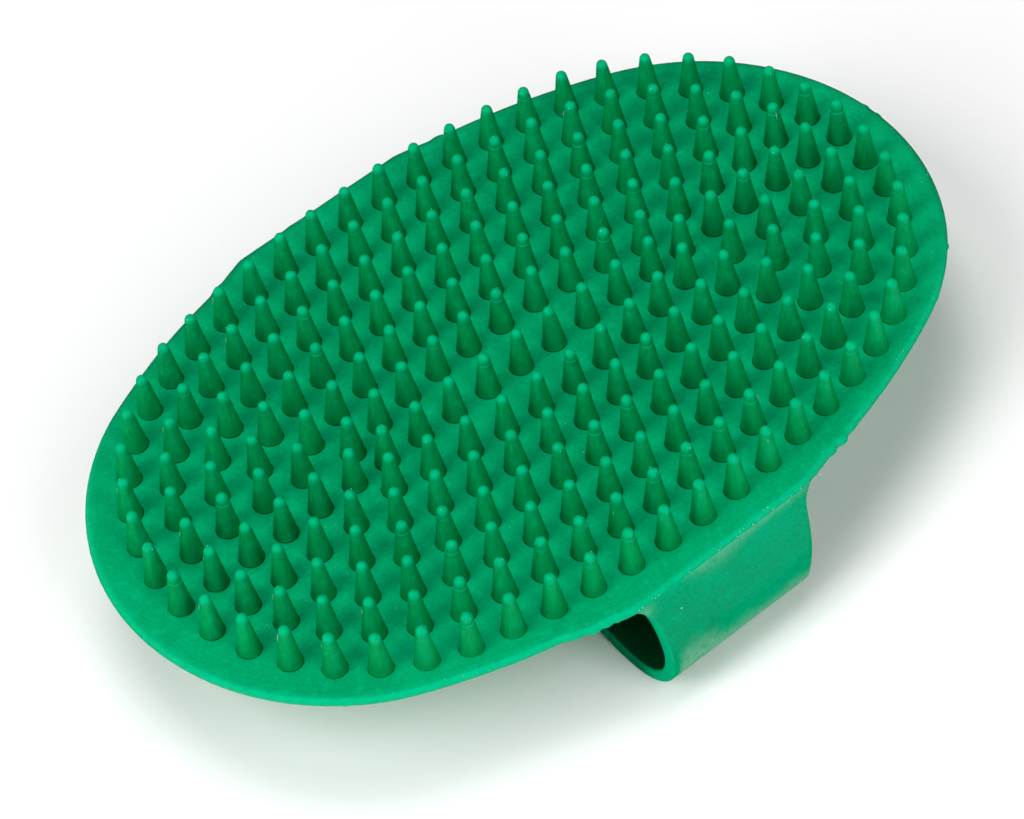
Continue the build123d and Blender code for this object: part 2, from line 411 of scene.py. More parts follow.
def ring_places(ring):
    """Where the teeth of a ring stand, counting rings from the rim inwards."""
    inward = RING_STEP * ring
    samples = oval_samples(
        RING_HALF_LENGTH - inward, RING_HALF_WIDTH - inward, RING_END_RADIUS - inward,
        OUTER_RING_TEETH - FEWER_PER_RING * ring,
    )
    return [tuple(centre + out * radius) for centre, out, radius in samples]


def row_places():
    """Where the teeth of the middle row stand."""
    first = -ROW_PITCH * (ROW_TEETH - 1) / 2
    return [(first + ROW_PITCH * i, 0.0) for i in range(ROW_TEETH)]


# --- pad -----------------------------------------------------------------------------
AROUND = 1320       # points around the rim
# (x, y, width, height) of the little trimmed stubs left on the rim
RIM_STUBS = [
    (27.4, -51.2, 0.6, 0.55), (24.6, -51.8, 0.5, 0.28), (30.4, -50.9, 0.5, 0.15),
    (-28.4, -50.9, 0.9, 0.55), (-26.2, -51.4, 0.5, 0.3), (-31.6, -50.3, 0.6, 0.2),
    (24.3, 51.8, 0.9, 0.40), (-26.7, 51.3, 0.9, 0.32), (-8.0, 54.0, 0.9, 0.12),
    (81.9, 2.0, 0.5, 0.28), (82.2, -1.0, 0.4, 0.2), (69.5, -32.2, 0.3, 0.22),
    (60.0, -39.0, 0.6, 0.12), (-55.0, -43.3, 0.7, 0.16), (-58.3, 42.1, 0.7, 0.15),
]


def root_share(x):
    """1 where the rim runs straight along a strap root, falling to 0 beside it."""
    beyond = max(0.0, (abs(x - STRAP_X) - ROOT_REACH) / ROOT_BLEND)
    return (1 - min(1.0, beyond)) ** 2


def rim_push(x, y):
    """How far the rim runs outside the plain oval: into the strap roots, and at its stubs."""
    push = root_share(x) * (PAD_HALF_WIDTH - abs(y))
    if y < 0:       # a slight swell to the left of the near root
        push += 0.6 * smooth(-34.0, -30.0, x) * smooth(-18.0, -23.0, x)
    for stub_x, stub_y, width, height in RIM_STUBS:
        away = hypot(x - stub_x, y - stub_y) - 0.3
        if away < 4 * width:
            push += height * exp(-((max(0.0, away) / width) ** 2))
    return push


def rim_reach(x):
    """How far out the rim's plain edge lies beside the strap, at x."""
    _, depth, side_radius, _ = oval_arcs(PAD_HALF_LENGTH, PAD_HALF_WIDTH, PAD_END_RADIUS)
    y = sqrt(side_radius ** 2 - x * x) - depth
    return y + root_share(x) * (PAD_HALF_WIDTH - y)


def rim_fray(x, y):
    """Thin uneven flash along the parting line of the rim."""
    fine = max(0.0, wobble(x, y, 0.0, 0.6, 7.7))
    ragged = max(0.0, wobble(x, y, 0.0, 1.4, 3.1)) ** 2 + 0.5 * fine
    patches = smooth(-0.05, 0.35, wobble(x, y, 0.0, 14.0, 1.3))
    near_root = exp(-((abs(x - STRAP_X) - 23.5) / 4.0) ** 2)
    return 0.04 + 0.16 * ragged * patches + 0.5 * ragged * near_root


def pad_height(x, y):
    """Lie of the toothed face: a slight dish and twist of the soft pad, and moulding waves."""
    u, v = x / RING_HALF_LENGTH, y / RING_HALF_WIDTH
    bent = DISH_ALONG * u * u + DISH_ACROSS * v * v + TWIST * u * v
    return bent + 0.05 * wobble(x, y, 0.0, 24.0, 0.4) + 0.02 * wobble(x, y, 0.0, 7.0, 5.2)


def rim_lift(inset):
    return RIM_LIFT * (1 - smooth(0.0, RIM_LIFT_WIDTH, inset))


DEEPEST_INSET = 44.0
TOP_ROWS = 58
UNDER_ROWS = 39


def pad_section():
    """Rows from the middle of the top, round the rim, to the middle of the underside.

    Each row is (inset from the edge, height, share of the parting-line flash, strength of the painted rim
    highlight and shade).
    """
    rows = []
    for i in range(TOP_ROWS - 1):
        rows.append((DEEPEST_INSET * (1 - i / TOP_ROWS) ** 1.25 + 1.3, PAD_TOP, 0.0, 0.0))
    rows += [(1.25, PAD_TOP - 0.01, 0.0, 0.2), (RIM_TOP_ROUND + 0.05, PAD_TOP - 0.03, 0.0, 0.5)]
    for i in range(1, 7):
        turn = radians(90 * i / 6)
        drop = 0.03 + RIM_TOP_ROUND * (1 - cos(turn))
        rows.append((RIM_TOP_ROUND * (1 - sin(turn)) + 0.04, PAD_TOP - drop, 0.0, 1.0))
    low = PAD_TOP - RIM_THICKNESS
    parting = low + RIM_BOTTOM_ROUND
    rows += [(0.02, parting + 0.06, 0.5, 0.8), (0.0, parting, 1.0, 0.8), (0.03, parting - 0.06, 0.4, 0.4)]
    for i in range(1, 5):
        turn = radians(90 * i / 4)
        inset = 0.06 + RIM_BOTTOM_ROUND * (1 - cos(turn))
        rows.append((inset, low + RIM_BOTTOM_ROUND * (1 - sin(turn)) - 0.02, 0.0, 0.1))
    for i in range(1, UNDER_ROWS + 1):
        share = i / UNDER_ROWS
        inset = 0.6 + DEEPEST_INSET * share ** 1.25 + 0.7 * share
        rows.append((inset, low + (PAD_BOTTOM - low) * smooth(0.5, 8.0, inset), 0.0, 0.0))
    return rows


def pad_piece():
    """The thin oval pad: its rim runs into the strap roots and carries stubs and flash."""
    outline = oval_samples(PAD_HALF_LENGTH, PAD_HALF_WIDTH, PAD_END_RADIUS, AROUND)
    edges = [centre + out * radius for centre, out, radius in outline]
    pushes = [rim_push(e.x, e.y) for e in edges]
    frays = [rim_fray(e.x, e.y) for e in edges]
    waves = [0.10 * wobble(e.x, e.y, 0.0, 16.0, 9.0) for e in edges]
    pitch = 4 * PAD_HALF_LENGTH / AROUND
    points, marks = [], {"rim": [], "far": [], "inset": [], "along": [], "under": []}
    for inset, z, flash, brightness in pad_section():
        for i, (centre, out, radius) in enumerate(outline):
            push = pushes[i] * exp(-inset / 4.0) + frays[i] * flash + waves[i] * exp(-inset / 3.0)
            p = centre + out * (radius - inset)
            if abs(edges[i].x - STRAP_X) < ROOT_ZONE:
                p.y += push if out.y > 0 else -push
            else:
                p += out * push
            points.append((p.x, p.y, z + pad_height(p.x, p.y) + rim_lift(inset)))
            # the rim's near side gets a painted highlight, its far side painted shade
            far = smooth(-0.2, 0.5, out.x * 0.75 + out.y * 0.66)
            marks["rim"].append(brightness * (1 - far))
            marks["far"].append(brightness * far)
            marks["inset"].append(inset)
            marks["along"].append(i * pitch)
            marks["under"].append(1.0 if z < PAD_TOP - RIM_THICKNESS else 0.0)
    rows = len(points) // AROUND
    faces = turned_over(loft(rows, AROUND))
    faces += middle_strip(0) + turned_over(middle_strip((rows - 1) * AROUND))
    make_piece("pad_oval", points, faces, PAD_RUBBER, "comb", ("pad",), marks)


def middle_strip(start):
    """Quads across the innermost loop, from one long side to the other."""
    faces = [(start, start + 1, start + AROUND - 1)]
    for i in range(1, AROUND // 2 - 1):
        faces.append((start + i, start + i + 1, start + AROUND - i - 1, start + AROUND - i))
    half = AROUND // 2
    faces.append((start + half - 1, start + half, start + half + 1))
    return faces


# --- teeth -----------------------------------------------------------------------------
TOOTH_SIDES = 30
SUNK = 0.35                 # how deep a tooth's foot goes into the pad
DOME_Z = TOOTH_HEIGHT - TOOTH_TIP_RADIUS
DOME_TURNS = (10, 25, 40, 54, 66, 77, 86)
STEP_SIZES = (0.0, 0.0, 0.008, 0.012, 0.018, 0.025, 0.025, 0.05)
LEAN_SPREAD = 0.09


def cone_radius(height):
    """Side of the tooth: a straight taper running tangent into the dome."""
    reach = hypot(TOOTH_BASE_RADIUS, DOME_Z)
    tilt = atan2(TOOTH_BASE_RADIUS, DOME_Z) - asin(TOOTH_TIP_RADIUS / reach)
    touch_z = DOME_Z + TOOTH_TIP_RADIUS * sin(tilt)
    touch_r = TOOTH_TIP_RADIUS * cos(tilt)
    if height <= touch_z:
        return TOOTH_BASE_RADIUS + (touch_r - TOOTH_BASE_RADIUS) * height / touch_z
    return sqrt(max(0.0, TOOTH_TIP_RADIUS ** 2 - (height - DOME_Z) ** 2))


def tooth_section(rng):
    """(height, radius, step mark) from under the pad's face to the tip, each tooth its own."""
    rows = [(-SUNK, 2.30, 0), (-0.04, 2.30, 0), (0.03, 2.25, 0), (0.10, 2.19, 0), (0.20, 2.15, 0)]
    rows += [(0.32, 2.16, 0), (0.42, 2.15, 0), (0.55, 2.10, 0)]
    rows += [(h, cone_radius(h), 0) for h in (0.8, 1.6, 2.5, 3.4, 4.3, 5.2, 5.9)]
    step_z = rng.uniform(6.8, 7.35)
    step = rng.choice(STEP_SIZES)
    glow = min(1.0, step / 0.07)
    for up, at, swell, mark in (
        (-0.40, -0.40, 0.0, 0.0), (-0.12, -0.12, 0.5, 0.4 * glow), (-0.04, 0.0, 0.6, glow),
        (0.02, 0.0, -0.2, glow), (0.10, 0.10, -1.2, 0.0), (0.25, 0.25, -0.6, 0.0),
    ):
        rows.append((step_z + up, cone_radius(step_z + at) + swell * step, mark))
    rows.append((7.85, cone_radius(7.85), 0))
    for turn in DOME_TURNS:
        angle = radians(turn)
        rows.append((DOME_Z + TOOTH_TIP_RADIUS * sin(angle), TOOTH_TIP_RADIUS * cos(angle), 0))
    return rows


def tooth_marks(angle, height, step, seed):
    """What the tooth's material reads at one point of its side."""
    drawn = wobble(9 * cos(angle), 9 * sin(angle), 0.5 * height, 2.0, seed)
    return {
        "streak": smooth(0.05, 0.6, drawn) * (1 - smooth(6.5, 8.0, height)),
        # painted highlight on the dome
        "tip": smooth(7.5, 8.3, height),
        "step": step,
        # painted shade, darker towards the base
        "foot": 1 - smooth(0.0, 5.5, height),
        # painted shade in the crease at the pad
        "crease_shade": 1 - smooth(0.12, 0.34, height),
    }


# the apex takes the full painted tip highlight
TIP_MARKS = {"streak": 0.0, "tip": 1.0, "step": 0.0, "foot": 0.0, "crease_shade": 0.0}


def add_tooth(x, y, rng, points, faces, marks):
    """One tooth, leaning and shaped a little differently from the next."""
    section = tooth_section(rng)
    stretch = 1 + rng.uniform(-0.012, 0.012)
    lean = Vector((rng.gauss(0, LEAN_SPREAD), rng.gauss(0, LEAN_SPREAD)))
    girth = 1 + rng.uniform(-0.015, 0.015)
    phase, seed = rng.uniform(0, 2 * pi), rng.uniform(0, 50)
    ground = PAD_TOP + pad_height(x, y)
    start = len(points)
    for height, radius, step in section:
        share = max(0.0, height / TOOTH_HEIGHT)
        cx = x + lean.x * share ** 1.6
        cy = y + lean.y * share ** 1.6
        for i in range(TOOTH_SIDES):
            angle = 2 * pi * i / TOOTH_SIDES
            r = radius * girth * (1 + 0.012 * cos(2 * angle + phase))
            r += 0.012 * wobble(4 * cos(angle), 4 * sin(angle), height, 2.0, seed) * (1 - share)
            points.append((cx + r * cos(angle), cy + r * sin(angle), ground + height * stretch))
            for key, value in tooth_marks(angle, height, step, seed).items():
                marks[key].append(value)
    points.append((x + lean.x, y + lean.y, ground + TOOTH_HEIGHT * stretch))
    for key, value in TIP_MARKS.items():
        marks[key].append(value)
    tip = len(points) - 1
    last = tip - TOOTH_SIDES
    faces += loft(len(section), TOOTH_SIDES, start)
    faces.append(tuple(start + i for i in reversed(range(TOOTH_SIDES))))
    faces += [(last + i, last + (i + 1) % TOOTH_SIDES, tip) for i in range(TOOTH_SIDES)]


def teeth_piece(node, places, seed):
    rng = random.Random(seed)
    points, faces, marks = [], [], {key: [] for key in TIP_MARKS}
    for x, y in places:
        add_tooth(x, y, rng, points, faces, marks)
    make_piece(
        node + "_moulded", points, faces, TOOTH_RUBBER, "comb", (node,), marks
    )


# --- strap -------------------------------------------------------------------------------
class Route:
    """Side view of a tongue: the path of its outer face, as y, z and heading by length.

    Each move is (length, 0) for a straight run, or (radius, turn in degrees) for an arc.
    """

    def __init__(self, moves):
        self.legs = []
        point, angle = Vector((-PAD_HALF_WIDTH, PAD_TOP - ROOT_DROP)), 180.0 + ROOT_ANGLE
        run = 0.0
        for size, turn in moves:
            length = size if turn == 0 else size * radians(abs(turn))
            self.legs.append((run, length, size, turn, point.copy(), angle))
            point, angle = self.along(self.legs[-1], length)
            run += length
        self.length = run

    @staticmethod
    def along(leg, run):
        _, length, size, turn, point, angle = leg
        if turn == 0:
            return point + unit(angle) * run, angle
        side = 1 if turn > 0 else -1
        swept = angle + turn * run / length
        centre = point + unit(angle + 90) * size * side
        return centre - unit(swept + 90) * size * side, swept

    def at(self, run):
        for leg in reversed(self.legs):
            if run >= leg[0]:
                return self.along(leg, run - leg[0])
        return self.along(self.legs[0], run)


def rise_length(rise, height):
    """Length of the sloping run that lifts a tongue to its flat run's height."""
    in_arcs = (BEND_RADIUS + LEVEL_RADIUS) * (1 - cos(radians(rise)))
    return (height - in_arcs) / sin(radians(rise))


def tongue_route(rise, lap_height, free_end_y):
    """Down the wall, round the bend, up the slope, and level to the free end."""
    moves = [
        (WALL_RADIUS, WALL_TURN), (WALL_STRAIGHT, 0), (BEND_RADIUS, 180 - ROOT_ANGLE - WALL_TURN),
        (BEND_FLAT, 0), (BEND_RADIUS, rise), (rise_length(rise, lap_height), 0), (LEVEL_RADIUS, -rise),
    ]
    so_far = Route(moves)
    level_y = so_far.at(so_far.length - 1e-6)[0].x
    moves.append((free_end_y - level_y, 0))
    return Route(moves)


def tongue_edge(run, length, side):
    """Distance from a tongue's centre line to its edge, at a distance from the rim along it.

    The web that joins the root to the rim is fuller on the right than on the left.
    """
    if side > 0:
        web = 4.2 * exp(-run / 1.4) + 2.2 * exp(-run / 0.35)
    else:
        web = 2.6 * exp(-run / 0.5) + 2.9 * exp(-run / 1.8)
    taper = smooth(3.0, 18.0, run)
    half = ROOT_HALF_WIDTH + web + (STRAP_HALF_WIDTH - ROOT_HALF_WIDTH) * taper
    over = run - (length - END_CORNER)
    if over > 0:
        half = STRAP_HALF_WIDTH - END_CORNER + sqrt(max(0.0, END_CORNER ** 2 - over ** 2))
    return half


WEB_STEPS = 12          # close steps along the web, then wider ones
WEB_STEP = 0.16
NEAR_STEPS = 8
NEAR_STEP = 0.4
FAR_STEP = 0.8
CORNER_STEPS = 10
END_STEPS = 18
ROOT_STEPS = 46


def tongue_outline(length):
    """Flat pattern of a tongue, (x, run) anticlockwise from its root, with rounded end corners."""
    near, far = WEB_STEP * WEB_STEPS, WEB_STEP * WEB_STEPS + NEAR_STEP * NEAR_STEPS
    steps = [WEB_STEP * i for i in range(WEB_STEPS)] + [near + NEAR_STEP * i for i in range(NEAR_STEPS)]
    straight = length - END_CORNER - far
    count = int(straight / FAR_STEP)
    steps += [far + straight * i / count for i in range(count)]
    right = [(tongue_edge(run, length, 1), run) for run in steps]
    left = [(-tongue_edge(run, length, -1), run) for run in reversed(steps)]
    span = STRAP_HALF_WIDTH - END_CORNER
    turns = [radians(90 * i / CORNER_STEPS) for i in range(CORNER_STEPS + 1)]
    corner = [(span + END_CORNER * cos(t), length - END_CORNER * (1 - sin(t))) for t in turns]
    across = [(span * (1 - 2 * i / END_STEPS), length) for i in range(1, END_STEPS)]
    other = [(-x, run) for x, run in reversed(corner)]
    first, width = left[-1][0], right[0][0] - left[-1][0]
    root = [(first + width * i / ROOT_STEPS, 0.0) for i in range(1, ROOT_STEPS)]
    return right + corner + across + other + left + root


def loop_inset(loop, depth):
    """The same closed loop moved to its left."""
    moved = []
    for i, (x, y) in enumerate(loop):
        ax, ay = loop[i - 1]
        bx, by = loop[(i + 1) % len(loop)]
        along = Vector((bx - ax, by - ay)).normalized()
        moved.append((x - along.y * depth, y + along.x * depth))
    return moved


EDGE_ROUND = 0.55
EDGE_INSETS = (0.06, 0.18, 0.35, EDGE_ROUND)
HOLE_SIDES = 40
HOLE_OPEN = HOLE_RADIUS * cos(pi / HOLE_SIDES)      # what a ring of so many sides leaves open
GRID_PITCH = 0.9
GRID_MARGIN = 1.2
WEB_LENGTH = 4.0        # within this of the rim, points are tested against the curved outline


def edge_depth(distance):
    """How far the face falls away near an edge with a rounded corner."""
    gap = EDGE_ROUND - min(EDGE_ROUND, max(0.0, distance))
    return EDGE_ROUND - sqrt(max(0.0, EDGE_ROUND ** 2 - gap ** 2))


def edge_gap(p, outline):
    """Distance from a point to the outline."""
    best = float("inf")
    for i, (ax, ay) in enumerate(outline):
        bx, by = outline[i - 1]
        ux, uy = bx - ax, by - ay
        t = ((p[0] - ax) * ux + (p[1] - ay) * uy) / (ux * ux + uy * uy)
        t = min(1.0, max(0.0, t))
        best = min(best, hypot(p[0] - ax - t * ux, p[1] - ay - t * uy))
    return best


def is_within(p, outline):
    """Whether a point lies inside the outline."""
    odd = False
    for i, (ax, ay) in enumerate(outline):
        bx, by = outline[i - 1]
        if (ay > p[1]) != (by > p[1]) and p[0] < ax + (p[1] - ay) * (bx - ax) / (by - ay):
            odd = not odd
    return odd


def hole_ring(centre, depth):
    """Points round a button hole, clockwise, which keeps the rubber on their left."""
    turns = [-2 * pi * i / HOLE_SIDES for i in range(HOLE_SIDES)]
    radius = HOLE_RADIUS + depth
    return [(centre[0] + radius * cos(t), centre[1] + radius * sin(t)) for t in turns]


def tongue_grid(length, holes):
    """Inner points of a tongue's flat pattern, clear of its edges and holes."""
    clear = HOLE_RADIUS + EDGE_ROUND + 0.4
    runs = [0.8, 1.05, 1.4] + [j * GRID_PITCH for j in range(2, int(length / GRID_PITCH) - 1)]
    for run in runs:
        left = GRID_MARGIN - tongue_edge(run, length, -1)
        right = tongue_edge(run, length, 1) - GRID_MARGIN
        count = int((right - left) / GRID_PITCH)
        for i in range(count + 1):
            x = left + (right - left) * i / count
            if all(hypot(x - hx, run - hr) > clear for hx, hr in holes):
                yield x, run


def tongue_points(length, holes, outline):
    """Points of the flat pattern with their distances from its edges, after its borders' own."""
    flat, gaps = [], []
    for depth in EDGE_INSETS:
        rows = [p for p in loop_inset(outline, depth) if edge_gap(p, outline) > 0.93 * depth]
        rows = [p for p in rows if is_within(p, outline)]
        for hole in holes:
            rows += hole_ring(hole, depth)
        flat += rows
        gaps += [depth] * len(rows)
    for p in tongue_grid(length, holes):
        if p[1] > WEB_LENGTH or (is_within(p, outline) and edge_gap(p, outline) > EDGE_ROUND):
            flat.append(p)
            gaps.append(EDGE_ROUND)
    return flat, gaps


def tongue_mesh(length, holes):
    """Triangles over a tongue's flat pattern: points, distances from the edge, faces, borders."""
    outline = tongue_outline(length)
    flat, edges, loops = [], [], []
    for border in [outline] + [hole_ring(hole, 0.0) for hole in holes]:
        ids = list(range(len(flat), len(flat) + len(border)))
        loops.append(ids)
        edges += [(ids[i], ids[(i + 1) % len(ids)]) for i in range(len(ids))]
        flat += border
    inner, inner_gaps = tongue_points(length, holes, outline)
    gaps = [0.0] * len(flat) + inner_gaps
    corners = [Vector(p) for p in flat + inner]
    points, _, tris, origins = delaunay_2d_cdt(corners, edges, [], 0, 1e-5)[:4]
    new_gaps = [gaps[o[0]] if o else EDGE_ROUND for o in origins]
    where = {old: new for new, o in enumerate(origins) for old in o}
    loops = [[where[i] for i in ids] for ids in loops]

    def is_rubber(tri):
        middle = sum((points[i] for i in tri), Vector((0.0, 0.0))) / 3
        if any(hypot(middle.x - hx, middle.y - hr) < HOLE_OPEN for hx, hr in holes):
            return False
        near_edge = middle.y < WEB_LENGTH or all(new_gaps[i] == 0.0 for i in tri)
        return is_within(middle, outline) if near_edge else True

    return points, new_gaps, [tri for tri in tris if is_rubber(tri)], loops


def painted_reflection_at(x, run):
    """Painted grey reflection on the strap's outer face: low down, in the crease under the rim, at one
    root.
    """
    ragged = 1.4 * wobble(x, run, 0.0, 4.5, 4.4) + 0.6 * wobble(x, run, 0.0, 1.3, 6.1)
    start = 10.0 + 4.5 * smooth(-9.0, -2.0, x)
    low = smooth(start, start + 6.5, run + ragged) * (1 - smooth(32.0, 46.0, run))
    low *= smooth(-14.3, -13.2, x)
    wide = 0.55 + 1.1 * exp(-((x + 1.0) / 5.0) ** 2)
    crease = 0.45 * smooth(-10.0, -6.0, x) * exp(-(((run - 0.3) / wide) ** 2))
    corner = 0.5 * exp(-((run - 1.1) / 0.9) ** 2 - ((x + 17.8) / 1.5) ** 2)
    return min(1.0, low + crease + corner)


def root_lift(x, rim_y, run):
    """How far a tongue is lifted near its root by the lie of the pad there."""
    return (pad_height(x, rim_y) + RIM_LIFT) * (1 - smooth(1.0, 14.0, run))


def tongue_point(route, x, run, gap, inner, mirrored, seed):
    """Where a point of the flat pattern lies on the bent tongue's outer or inner face."""
    base, angle = route.at(run)
    flip = -1 if mirrored else 1
    ripple = 0.12 * wobble(x, run, 0.0, 12.0, seed) + 0.04 * wobble(x, run, 0.0, 4.0, seed + 3)
    ripple *= smooth(0.5, 5.0, run) * smooth(0.0, 3.0, run)
    if inner:
        depth = STRAP_THICKNESS - edge_depth(gap) + ripple * 0.3
    else:
        depth = edge_depth(gap) + max(0.0, ripple)
    q = base + unit(angle + 90) * depth
    q.x += max(0.0, PAD_HALF_WIDTH - rim_reach(STRAP_X + x)) * (1 - smooth(0.0, 3.5, run))
    lift = root_lift(STRAP_X + x, -flip * PAD_HALF_WIDTH, run)
    return STRAP_X + x, flip * q.x, q.y + lift


def inside_shade(run, gap, inner, mirrored):
    """Deep shade inside the loop of the strap, and some of it on the loop's edges low down."""
    inland = smooth(0.0, EDGE_ROUND, gap)
    face = smooth(3.0, 14.0, run) * inland if inner else 0.0
    rim = 0.7 * (1 - inland) * smooth(25.0, 31.0, run)
    return max(face, rim) * (0.8 if mirrored else 1.0) * (1 - smooth(60.0, 75.0, run))


def scuff_at(x, run):
    """One dark slanting rub on the outer face."""
    across = (x + 6.2 + 0.25 * (run - 8.5)) / 0.45
    return exp(-across ** 2) * exp(-((run - 11.5) / 3.0) ** 2)


def tongue_piece(name, route, holes, mirrored, body, replaces, seed):
    """A strap tongue: the flat pattern given thickness, rounded edges, and bent along its route."""
    flat, gaps, tris, loops = tongue_mesh(route.length, holes)
    points, marks = [], {"edge": [], "painted_reflection": [], "inside": [], "mark": []}
    for inner in (False, True):
        for (x, run), gap in zip(flat, gaps):
            points.append(tongue_point(route, x, run, gap, inner, mirrored, seed))
            # painted highlight along the rounded edges
            marks["edge"].append(1.0 - min(1.0, gap / EDGE_ROUND))
            # a grey reflection painted on the outer face
            marks["painted_reflection"].append(0.0 if inner else painted_reflection_at(x, run))
            marks["inside"].append(inside_shade(run, gap, inner, mirrored))
            marks["mark"].append(0.0 if inner else scuff_at(x, run))
    count = len(flat)
    faces = turned_over(tris) + [tuple(i + count for i in tri) for tri in tris]
    for ids in loops:
        for i, a in enumerate(ids):
            b = ids[(i + 1) % len(ids)]
            faces.append((a, b, b + count, a + count))
    if mirrored:
        faces = turned_over(faces)
    return make_piece(name, points, faces, STRAP_RUBBER, body, replaces, marks)


def button_places(rows):
    return [(side * BUTTON_SPACING / 2, row * BUTTON_PITCH) for row in rows for side in (-1, 1)]


def strap_pieces():
    """The near tongue, on no body, and the far tongue."""
    near = tongue_route(OUTER_RISE, LAP_HEIGHT, OUTER_END_Y)
    holes = [(x, near.length - (OUTER_END_Y - y)) for x, y in button_places(HOLE_ROWS)]
    near_piece = tongue_piece(
        "strap_near_tongue", near, holes, False, None, ("strap_wall_near", "strap_flap_near"), 1.7
    )
    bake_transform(near_piece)
    far = tongue_route(INNER_RISE, INNER_HEIGHT, -INNER_END_Y)
    tongue_piece("strap_far_tongue", far, [], True, "comb", ("strap_tongue_far",), 8.1)


STUD_SIDES = 36
STUD_FOOT = -STUD_NECK_LENGTH
# (height, radius) down a stud, from the underside of the inner tongue
STUD_SECTION = [
    (0.3, 3.1), (0.0, 3.0), (-0.12, 2.72), (-0.3, 2.5), (-0.6, 2.42), (-1.5, STUD_NECK_RADIUS),
    (STUD_FOOT + 0.25, STUD_NECK_RADIUS), (STUD_FOOT + 0.08, 2.5), (STUD_FOOT, 2.75),
    (STUD_FOOT - 0.10, 2.93), (STUD_FOOT - 0.25, 2.99), (STUD_FOOT - 0.40, STUD_HEAD_RADIUS),
    (STUD_FOOT - 0.55, 2.98), (STUD_FOOT - 0.72, 2.85), (STUD_FOOT - 0.95, 2.55),
    (STUD_FOOT - 1.2, 2.05), (STUD_FOOT - 1.42, 1.45), (STUD_FOOT - 1.58, 0.85),
    (STUD_FOOT - 1.66, 0.4),
]


def studs_piece():
    """Four round buttons hanging from the inner tongue, necks through the outer one's holes."""
    points, faces, edge = [], [], []
    rng = random.Random(11)
    for bx, by in button_places(STUD_ROWS):
        start = len(points)
        phase = rng.uniform(0, 2 * pi)
        for z, radius in STUD_SECTION:
            for i in range(STUD_SIDES):
                angle = 2 * pi * i / STUD_SIDES
                r = radius * (1 + 0.01 * cos(3 * angle + phase))
                x, y = STRAP_X + bx + r * cos(angle), by + r * sin(angle)
                points.append((x, y, INNER_HEIGHT + z))
                # painted highlight on the button heads, as on the strap's edges
                edge.append(smooth(STUD_FOOT, STUD_FOOT - 0.8, z))
        last = len(points) - STUD_SIDES
        faces += turned_over(loft(len(STUD_SECTION), STUD_SIDES, start))
        faces.append(tuple(start + i for i in range(STUD_SIDES)))
        faces.append(tuple(last + i for i in reversed(range(STUD_SIDES))))
    make_piece(
        "strap_buttons", points, faces, STRAP_RUBBER, "comb", ("strap_studs",),
        {"edge": edge},
    )


# --- dust specks and flash hairs ----------------------------------------------------------
def add_blob(points, faces, at, size, rng):
    """A tiny irregular grain: an octahedron with its points jogged."""
    start = len(points)
    for axis in ((1, 0, 0), (-1, 0, 0), (0, 1, 0), (0, -1, 0), (0, 0, 1), (0, 0, -1)):
        reach = size * rng.uniform(0.6, 1.2)
        points.append(tuple(c + a * reach for c, a in zip(at, axis)))
    for a, b, c in (
        (0, 2, 4), (2, 1, 4), (1, 3, 4), (3, 0, 4), (2, 0, 5), (1, 2, 5), (3, 1, 5), (0, 3, 5),
    ):
        faces.append((start + a, start + b, start + c))


DUST_SPOTS = 997        # places along the rim that a speck may lie at
RIM_SPECKS = 60
FACE_SPECKS = 90
# x of the specks caught in the crease between the rim and the strap
CREASE_SPECKS = (
    -20.5, -19.8, -17.0, -16.2, -9.5, -3.0, 1.0, 4.5, 9.0, 13.0, 15.2, 17.8, 18.4, 19.6, 21.5,
)
STRAP_SPECK_X = STRAP_X - 11.6
STRAP_SPECK_RUN = 4.4


def rim_top(x, y):
    return PAD_TOP + pad_height(x, y) + RIM_LIFT


def rim_dust(points, faces, outline, rng):
    """Specks along the rim, over half of them in heaps."""
    heaps = [rng.randrange(DUST_SPOTS) for _ in range(9)]
    for _ in range(RIM_SPECKS):
        if rng.random() < 0.6:
            at = rng.choice(heaps) + int(rng.gauss(0, 14))
        else:
            at = rng.randrange(DUST_SPOTS)
        centre, out, radius = outline[at % DUST_SPOTS]
        inset = rng.uniform(0.0, 0.9)
        p = centre + out * (radius - inset)
        short = max(0.0, RIM_TOP_ROUND - inset)
        drop = RIM_TOP_ROUND - sqrt(max(0.0, RIM_TOP_ROUND ** 2 - short ** 2))
        add_blob(points, faces, (p.x, p.y, rim_top(p.x, p.y) - drop), rng.uniform(0.03, 0.10), rng)


def face_dust(points, faces, outline, rng):
    """Specks scattered over the toothed face."""
    for _ in range(FACE_SPECKS):
        centre, out, radius = rng.choice(outline)
        inset = rng.uniform(1.5, 46.0)
        p = centre + out * (radius - inset)
        z = PAD_TOP + pad_height(p.x, p.y) + rim_lift(inset)
        add_blob(points, faces, (p.x, p.y, z), rng.uniform(0.04, 0.10), rng)


def strap_dust(points, faces, rng):
    """One speck on the near wall, and a line of them in the crease above it."""
    face, _ = tongue_route(OUTER_RISE, LAP_HEIGHT, OUTER_END_Y).at(STRAP_SPECK_RUN)
    z = face.y + root_lift(STRAP_SPECK_X, -PAD_HALF_WIDTH, STRAP_SPECK_RUN)
    add_blob(points, faces, (STRAP_SPECK_X, face.x, z), 0.2, rng)
    for x in CREASE_SPECKS:
        spot = (x, -PAD_HALF_WIDTH - 0.02, rim_top(x, -54.0) - 0.45)
        add_blob(points, faces, spot, rng.uniform(0.09, 0.17), rng)


def tip_dust(points, faces, rng):
    """Specks on the domed tips of some of the ring teeth."""
    for x, y in [place for ring in range(RING_COUNT) for place in ring_places(ring)]:
        if rng.random() < 0.3:
            turn, up = rng.uniform(0, 2 * pi), rng.uniform(0.2, 0.95)
            reach = TOOTH_TIP_RADIUS * sqrt(1 - up * up)
            z = PAD_TOP + pad_height(x, y) + TOOTH_HEIGHT - TOOTH_TIP_RADIUS * (1 - up)
            spot = (x + reach * cos(turn), y + reach * sin(turn), z)
            add_blob(points, faces, spot, rng.uniform(0.05, 0.13), rng)


